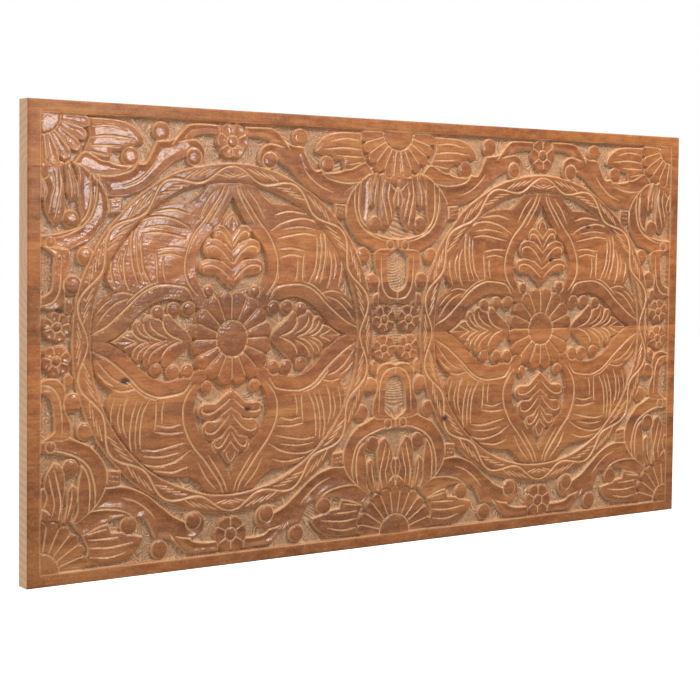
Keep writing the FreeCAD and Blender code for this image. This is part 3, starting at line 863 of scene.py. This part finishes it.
def carved_wood(name, tone, seed):
    """Varnished hardwood, with pale wash lying in the cuts and the ground."""
    g = Graph(name)
    speck = g.noise(g.place((260.0, 260.0, 260.0)), 1.0, 3.0, 0.7)
    wood = timber(g, tone, (seed * 0.37, seed * 0.11, seed * 0.53), speck)
    patchy = g.noise(g.place((28.0, 28.0, 28.0)), 3.0, 4.0, 0.65)
    # the wash is pale wash in the cuts and on the ground, thinned in the ground's gouge hollows as painted
    # shade
    wash = g.attribute("wash")
    cover = g.math("MULTIPLY", wash, g.span(patchy, 0.25, 0.6, 0.65, 1.0), clamp=True)
    ground = g.mix(g.span(speck, 0.35, 0.65), srgb(184, 141, 102), srgb(232, 193, 150))
    pale = g.mix(g.attribute("ground"), srgb(244, 192, 140), ground)
    colour = g.mix(cover, wood, pale)
    colour = g.mix(g.attribute("knot"), colour, srgb(88, 52, 32))
    rough = g.span(cover, 0.0, 1.0, 0.52, 0.7)
    tooth = g.noise(g.place((60.0, 500.0, 500.0)), 2.0, 3.0)
    rippled = g.noise(g.place((90.0, 140.0, 140.0)), 1.0, 3.0, 0.6)
    normal = g.bump(tooth, 0.5, 0.0006, g.bump(rippled, 0.4, 0.0011))
    g.feed(g.shader.inputs["Coat Normal"], g.bump(rippled, 0.5, 0.0009))
    varnish = g.math("MULTIPLY", g.attribute("carved"), g.span(cover, 0.0, 1.0, 0.34, 0.10))
    g.feed(g.shader.inputs["Coat Weight"], g.math("ADD", varnish, 0.03))
    return g.finish(colour, rough, normal, specular=0.3)


def end_grain(name, seed):
    """The sawn ends of a board: growth rings about a heart that lies outside it."""
    g = Graph(name)
    heart = (0.0, 0.11 + 0.02 * (seed % 3), 0.05 * math.sin(2.4 * seed))
    shifted = g.place((1.0, 1.0, 1.0), heart)
    pattern = {"wave_type": "RINGS", "rings_direction": "X"}
    rings = g.node("ShaderNodeTexWave", pattern, Vector=shifted, Scale=24.0)
    rings.inputs["Distortion"].default_value = 3.0
    rings.inputs["Detail Scale"].default_value = 8.0
    colour = g.mix(rings.outputs["Fac"], srgb(212, 166, 128), srgb(224, 182, 146))
    speck = g.noise(g.place((300.0, 300.0, 300.0)), 2.0, 3.0, 0.6)
    colour = g.mix(g.span(speck, 0.5, 0.7, 0.0, 0.35), colour, srgb(140, 92, 60))
    return g.finish(colour, 0.5, g.bump(speck, 0.15, 0.0004))


def planed_wood(name, base, dark, along=(3.0, 60.0, 60.0)):
    """Plain planed timber with its grain along the axis that is scaled least."""
    g = Graph(name)
    broad = g.noise(g.place(along), 1.0, 4.0, 0.55, 0.5)
    fine = g.noise(g.place(tuple(6 * s for s in along)), 1.0, 3.0, 0.6)
    colour = g.ramp(broad, [(0.3, dark), (0.55, base), (0.75, tinted(base, 1.12))])
    colour = g.mix(g.span(fine, 0.5, 0.72, 0.0, 0.4), colour, dark)
    normal = g.bump(fine, 0.25, 0.0004)
    return g.finish(colour, g.span(fine, 0.3, 0.7, 0.47, 0.63), normal)


def zinc_steel():
    """Yellow zinc-plated steel, slightly cloudy."""
    g = Graph("zinc_steel")
    cloud = g.noise(g.place((220.0, 220.0, 220.0)), 2.0, 3.0)
    colour = g.ramp(cloud, [(0.3, (0.50, 0.45, 0.32)), (0.7, (0.72, 0.68, 0.52))])
    g.shader.inputs["Metallic"].default_value = 1.0
    return g.finish(colour, g.span(cloud, 0.3, 0.7, 0.28, 0.45), g.bump(cloud, 0.1, 0.0002))


def grey_felt():
    """Matt, fluffy dark grey felt."""
    g = Graph("grey_felt")
    fluff = g.noise(g.place((900.0, 900.0, 900.0)), 1.0, 5.0, 0.7)
    colour = g.ramp(fluff, [(0.3, (0.05, 0.04, 0.035)), (0.7, (0.16, 0.13, 0.11))])
    g.shader.inputs["Sheen Weight"].default_value = 0.4
    return g.finish(colour, 0.95, g.bump(fluff, 0.8, 0.0008), specular=0.2)


# How light each board is beside the others, from the top one down
BOARD_TONES = [0.98, 0.83, 1.10, 0.73, 1.04, 0.89, 0.81, 0.75]


def build_boards():
    """Puts a carved mesh in the place of each plain board."""
    tile = make_tile()
    for number, name in enumerate(BOARDS):
        mesh = board_mesh(name, tile)
        piece = bpy.data.objects.new("carved_" + name, mesh)
        scene.collection.objects.link(piece)
        mesh.materials.append(carved_wood("wood_" + name, BOARD_TONES[number], number + 1))
        mesh.materials.append(end_grain("end_" + name, number + 1))
        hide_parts(name)
        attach(piece, "headboard")


def dress(prefix, material):
    """Gives a material to every carried-over CAD node whose name starts with the prefix."""
    for name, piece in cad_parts.items():
        if name.startswith(prefix):
            for slot in piece.material_slots:
                slot.material = material


def dress_hardware():
    """Materials for everything behind the boards."""
    upright = (60.0, 60.0, 3.0)
    dress("batten_", planed_wood("batten_wood", srgb(186, 134, 88), srgb(134, 88, 52), upright))
    dress("spacer_", planed_wood("spacer_wood", srgb(186, 134, 88), srgb(134, 88, 52), upright))
    cleat = planed_wood("cleat_wood", srgb(200, 152, 104), srgb(150, 104, 64))
    dress("panel_cleat", cleat)
    dress("wall_cleat", cleat)
    dress("dowels_", planed_wood("dowel_wood", srgb(220, 180, 130), srgb(180, 136, 92), (90.0, 90.0, 8.0)))
    steel = zinc_steel()
    for prefix in ("batten_screws", "panel_cleat_screws", "spacer_screws"):
        dress(prefix, steel)
    dress("felt_pad_", grey_felt())


# ---------------------------------------------------------------------------------------------
# Floor, light and camera

FILL_FROM_BELOW = 0.30
FILL_FROM_ABOVE = 0.70
KEY_WATTS = 68
SOFTBOX_WATTS = 24
SIDE_WATTS = 16


def add_floor():
    """A white floor far below the part, which doesn't light it from below."""
    bpy.ops.mesh.primitive_plane_add(size=24.0, location=(0.0, 2.0, PANEL_LOW[2] * MM - 0.55))
    floor = bpy.context.object
    floor.name = "floor"
    g = Graph("pale_floor")
    g.shader.inputs["Emission Color"].default_value = (1.0, 1.0, 1.0, 1.0)
    g.shader.inputs["Emission Strength"].default_value = 0.8
    floor.data.materials.append(g.finish((0.92, 0.92, 0.92, 1.0), 0.7, specular=0.2))
    floor.visible_diffuse = False
    floor.visible_glossy = False


def add_light(name, place, aim, width, height, watts):
    """A rectangular lamp, with its place given from the middle of the panel's face."""
    light = bpy.data.lights.new(name, "AREA")
    light.shape = "RECTANGLE"
    light.size, light.size_y = width, height
    light.energy = watts
    lamp = bpy.data.objects.new(name, light)
    middle = Vector((0.0, FRONT_Y * MM, CENTRE_Z * MM))
    lamp.location = middle + Vector(place)
    lamp.rotation_euler = (Vector(aim) - Vector(place)).to_track_quat("-Z", "Y").to_euler()
    scene.collection.objects.link(lamp)
    return lamp


def add_lights():
    """White surroundings that light the part weakly, a key lamp above, a side lamp and a soft box."""
    world = bpy.data.worlds.new("studio")
    scene.world = world
    world.use_nodes = True
    tree = world.node_tree
    direction = tree.nodes.new("ShaderNodeTexCoord")
    split = tree.nodes.new("ShaderNodeSeparateXYZ")
    tree.links.new(direction.outputs["Generated"], split.inputs["Vector"])
    fill = tree.nodes.new("ShaderNodeMapRange")
    fill.inputs["From Min"].default_value = -1.0
    fill.inputs["To Min"].default_value = FILL_FROM_BELOW
    fill.inputs["To Max"].default_value = FILL_FROM_ABOVE
    tree.links.new(split.outputs["Z"], fill.inputs["Value"])
    seen = tree.nodes.new("ShaderNodeLightPath")
    strength = tree.nodes.new("ShaderNodeMapRange")
    tree.links.new(fill.outputs["Result"], strength.inputs["To Min"])
    tree.links.new(seen.outputs["Is Camera Ray"], strength.inputs["Value"])
    background = tree.nodes["Background"]
    background.inputs["Color"].default_value = (1, 1, 1, 1)
    tree.links.new(strength.outputs["Result"], background.inputs["Strength"])
    add_light("key", (0.9, -1.7, 2.4), (0.0, 0.0, 0.0), 0.9, 0.9, KEY_WATTS)
    add_light("side", (-2.9, -0.3, 0.3), (-0.75, 0.03, 0.0), 0.8, 0.8, SIDE_WATTS)
    softbox = add_light("softbox", (0.62, -2.46, 0.42), (-0.6, 0.0, 0.25), 0.55, 0.40, SOFTBOX_WATTS)
    softbox.visible_diffuse = False


def add_camera():
    """The camera stands to the left of the panel, a little above its middle."""
    data = bpy.data.cameras.new("camera")
    data.lens = 84.28
    data.sensor_width = 36.0
    data.shift_y = -0.056
    camera = bpy.data.objects.new("camera", data)
    camera.location = (-1.859, -2.464 + FRONT_Y * MM, 0.184 + CENTRE_Z * MM)
    camera.rotation_euler = (math.radians(87.362), math.radians(-0.603), math.radians(-35.343))
    scene.collection.objects.link(camera)
    scene.camera = camera


build_boards()
dress_hardware()
add_floor()
add_lights()
add_camera()
scene.view_settings.view_transform = "Standard"
